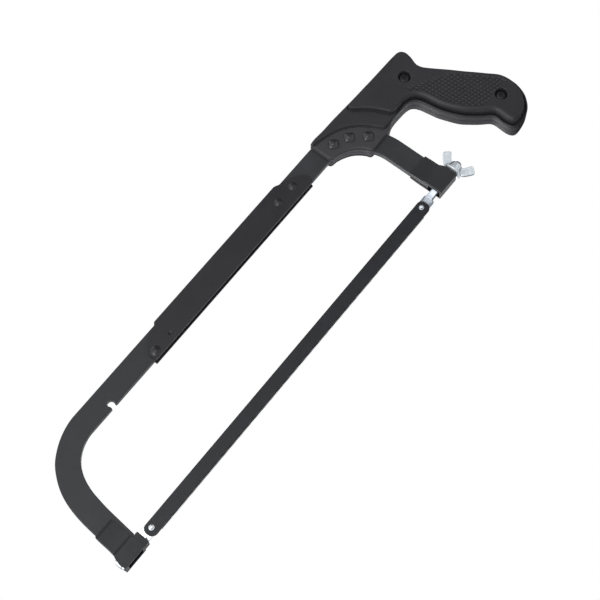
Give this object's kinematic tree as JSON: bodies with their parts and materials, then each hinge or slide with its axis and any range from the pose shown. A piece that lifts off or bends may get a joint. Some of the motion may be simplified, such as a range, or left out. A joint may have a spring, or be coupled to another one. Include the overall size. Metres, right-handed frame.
{
  "type": "hacksaw",
  "caption": "Adjustable hacksaw: bent flat-bar frame in a channel sleeve, two-part pistol handle, toothed blade on peg studs, wing-nut tensioner.",
  "frame": {"origin": "on the axis of the front blade peg, where its free tip begins, which is the middle plane of the frame", "axes": "+X along the blade from the front peg to the rear peg, +Z from the blade up to the spine, +Y through the thickness; the teeth face -Z"},
  "size_m": [0.4559, 0.0232, 0.1112],
  "materials": {
    "frame_paint": "satin black powder coat",
    "sleeve_paint": "satin black powder coat",
    "rivet_paint": "semi-gloss black",
    "holder_paint": "satin black powder coat",
    "blade_steel": "dark blued steel",
    "zinc": "bright zinc plate",
    "zinc_cast": "bright zinc plate on a cast surface",
    "handle_plastic": "fine moulded texture, satin",
    "handle_stud": "semi-gloss black",
    "screw_black": "black oxide"
  },
  "bodies": {
    "frame": {"front_frame_bar": "frame_paint", "rear_frame_bar": "frame_paint", "channel_sleeve": "sleeve_paint", "hook_pin": "rivet_paint", "sleeve_rivets": "rivet_paint", "front_holder": "holder_paint", "rear_holder": "holder_paint", "tension_washer": "zinc", "left_handle_half": "handle_plastic", "right_handle_half": "handle_plastic", "handle_rivets": "handle_stud", "handle_screws": "screw_black", "handle_nuts": "screw_black"},
    "wing_nut": {"wing_nut": "zinc_cast"},
    "rear_stud": {"rear_stud": "zinc", "rear_blade_peg": "zinc"},
    "front_stud": {"front_stud": "zinc", "front_stud_pin": "zinc", "front_blade_peg": "zinc"},
    "blade": {"blade": "blade_steel"}
  },
  "joints": [
    {"name": "wing_nut_turn", "type": "hinge", "parent": "frame", "child": "wing_nut", "pos_m": [0.338, 0, 0], "axis": [1, 0, 0], "range_deg": [0, 991]},
    {"name": "rear_stud_slide", "type": "slide", "parent": "frame", "child": "rear_stud", "axis": [-1, 0, 0], "range_m": [0, 0.00275]},
    {"name": "front_stud_slide", "type": "slide", "parent": "frame", "child": "front_stud", "axis": [-1, 0, 0], "range_m": [0, 0.00275]},
    {"name": "blade_lift", "type": "slide", "parent": "rear_stud", "child": "blade", "axis": [0, -1, 0], "range_m": [0, 0.004]}
  ],
  "couplings": [
    {"joint": "wing_nut_turn", "follows": "rear_stud_slide", "rad_per_m": 6283.2},
    {"joint": "front_stud_slide", "follows": "rear_stud_slide", "ratio": 1}
  ]
}
